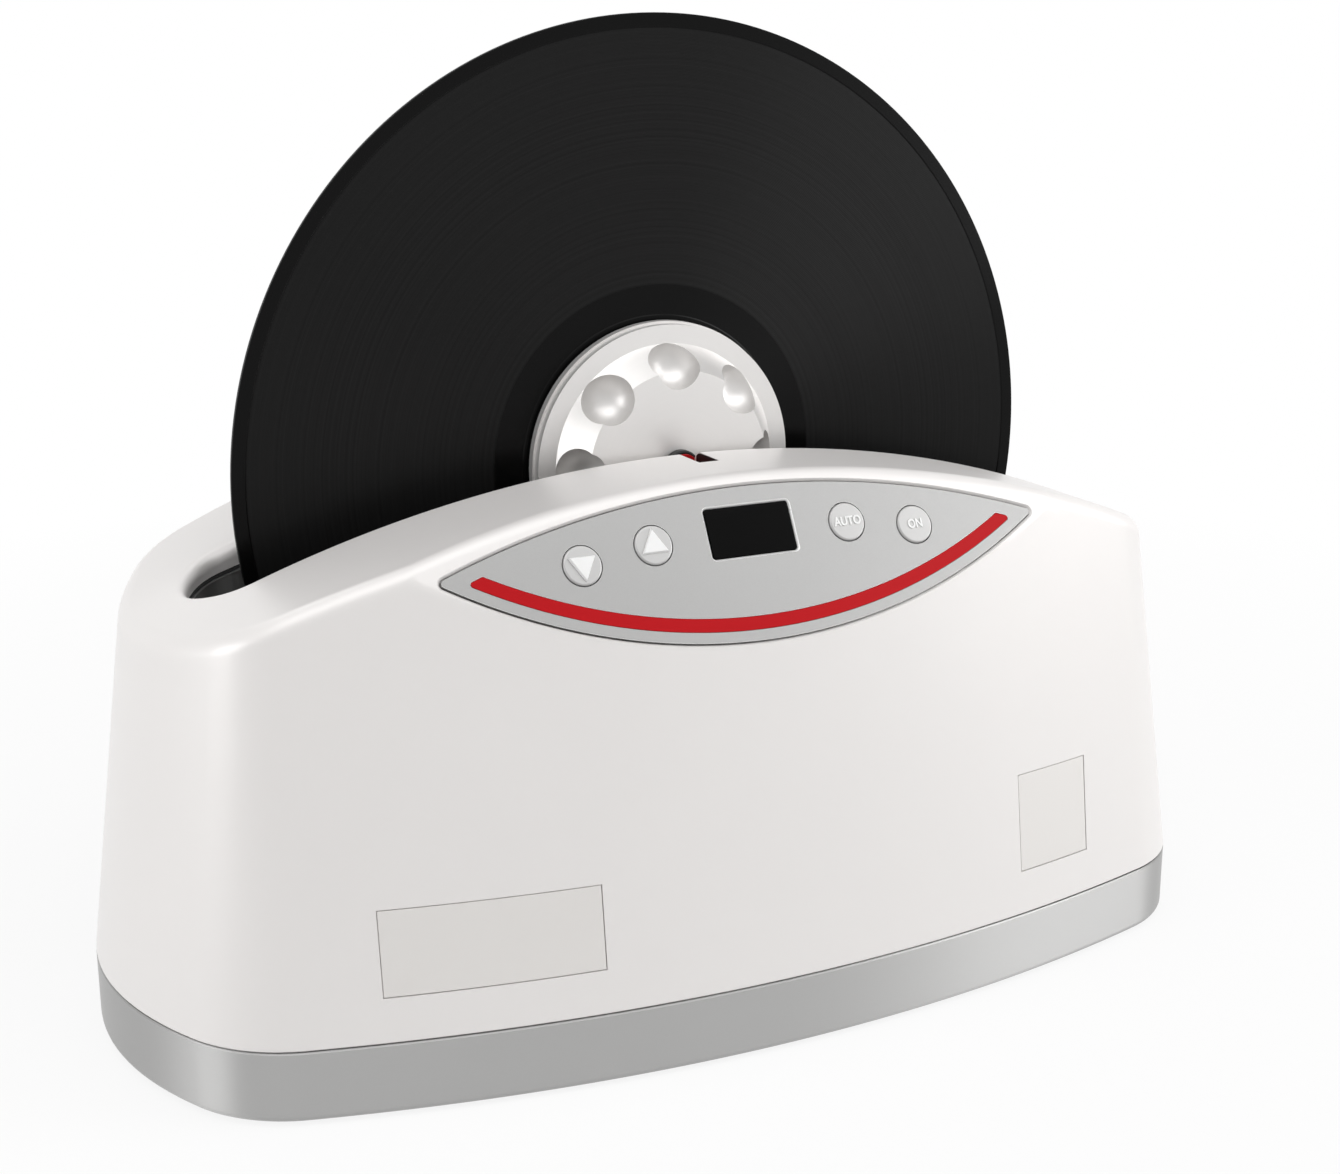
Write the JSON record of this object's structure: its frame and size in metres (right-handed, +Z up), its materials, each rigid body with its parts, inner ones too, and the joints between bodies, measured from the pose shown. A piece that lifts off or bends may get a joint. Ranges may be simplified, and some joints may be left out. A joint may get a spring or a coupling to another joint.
{
  "type": "record cleaning machine",
  "caption": "Upright record cleaner: a white bowed housing with a slotted bath, a leaning control panel, and a record on a sealed clamp and axle that a roller turns.",
  "frame": {"origin": "on the table under the middle of the housing", "axes": "+X to the right seen from the front, along the long side; +Y from the front with its control panel to the back; +Z up"},
  "size_m": [0.405, 0.208, 0.3308],
  "materials": {
    "pearl_white": "pearl white moulded plastic with a soft sheen",
    "silver_paint": "silver painted plastic",
    "panel_grey": "fine matte silver grey",
    "signal_red": "bright red plastic",
    "display_black": "dark glossy display window",
    "button_white": "light grey caps",
    "plate_cream": "bare off-white plates",
    "bath_steel": "dark grey satin trough",
    "black_rubber": "matte black rubber",
    "black_plastic": "black plastic",
    "record_vinyl": "grooved black vinyl",
    "clamp_satin": "satin silver white",
    "circuit_board": "green circuit board",
    "bare_metal": "bare machined metal",
    "copper_winding": "lacquered copper winding on an iron core",
    "dark_sheet": "dark painted sheet"
  },
  "bodies": {
    "machine": {"upper_housing": "pearl_white", "wide_plate": "plate_cream", "tall_plate": "plate_cream", "power_inlet": "black_plastic", "base_band": "silver_paint", "bottom_plate": "dark_sheet", "screw_front_left": "bare_metal", "screw_front_right": "bare_metal", "screw_back_left": "bare_metal", "screw_back_right": "bare_metal", "foot_front_left": "black_rubber", "foot_front_right": "black_rubber", "foot_back_left": "black_rubber", "foot_back_right": "black_rubber", "bath_tank": "bath_steel", "tank_gasket": "black_rubber", "transducer_front_left": "bare_metal", "transducer_front_right": "bare_metal", "transducer_back_left": "bare_metal", "transducer_back_right": "bare_metal", "generator_board": "circuit_board", "heat_sink": "bare_metal", "transformer": "copper_winding", "control_panel": "panel_grey", "red_strip": "signal_red", "display_window": "display_black", "display_module": "black_plastic", "panel_board": "circuit_board", "drive_motor": "bare_metal", "motor_bracket": "dark_sheet"},
    "axle_bushes": {"bush_front": "signal_red", "bush_back": "signal_red"},
    "clamped_record": {"record": "record_vinyl", "clamp_front": "clamp_satin", "clamp_back": "clamp_satin", "label_seal_front": "black_rubber", "label_seal_back": "black_rubber", "axle": "black_plastic"},
    "drive_roller": {"roller_hub": "bare_metal", "roller_tyre": "black_rubber"},
    "down_button": {"button_down": "button_white"},
    "up_button": {"button_up": "button_white"},
    "auto_button": {"button_auto": "button_white"},
    "on_button": {"button_on": "button_white"}
  },
  "joints": [
    {"name": "record_lift", "type": "slide", "parent": "machine", "child": "axle_bushes", "axis": [0, 0, 1], "range_m": [0, 0.17]},
    {"name": "record_spin", "type": "hinge", "parent": "axle_bushes", "child": "clamped_record", "pos_m": [0, 0, 0.18], "axis": [0, 1, 0], "continuous": true},
    {"name": "roller_spin", "type": "hinge", "parent": "machine", "child": "drive_roller", "pos_m": [0, -0.0355, 0.1727], "axis": [0, 1, 0], "continuous": true},
    {"name": "down_press", "type": "slide", "parent": "machine", "child": "down_button", "axis": [0, 0.8788, -0.4772], "range_m": [0, 0.0012], "stiffness_N_per_m": 500, "springref_m": -0.001},
    {"name": "up_press", "type": "slide", "parent": "machine", "child": "up_button", "axis": [0, 0.8788, -0.4772], "range_m": [0, 0.0012], "stiffness_N_per_m": 500, "springref_m": -0.001},
    {"name": "auto_press", "type": "slide", "parent": "machine", "child": "auto_button", "axis": [0, 0.8788, -0.4772], "range_m": [0, 0.0012], "stiffness_N_per_m": 500, "springref_m": -0.001},
    {"name": "on_press", "type": "slide", "parent": "machine", "child": "on_button", "axis": [0, 0.8788, -0.4772], "range_m": [0, 0.0012], "stiffness_N_per_m": 500, "springref_m": -0.001}
  ],
  "couplings": [
    {"joint": "roller_spin", "follows": "record_spin", "ratio": -0.55556}
  ]
}
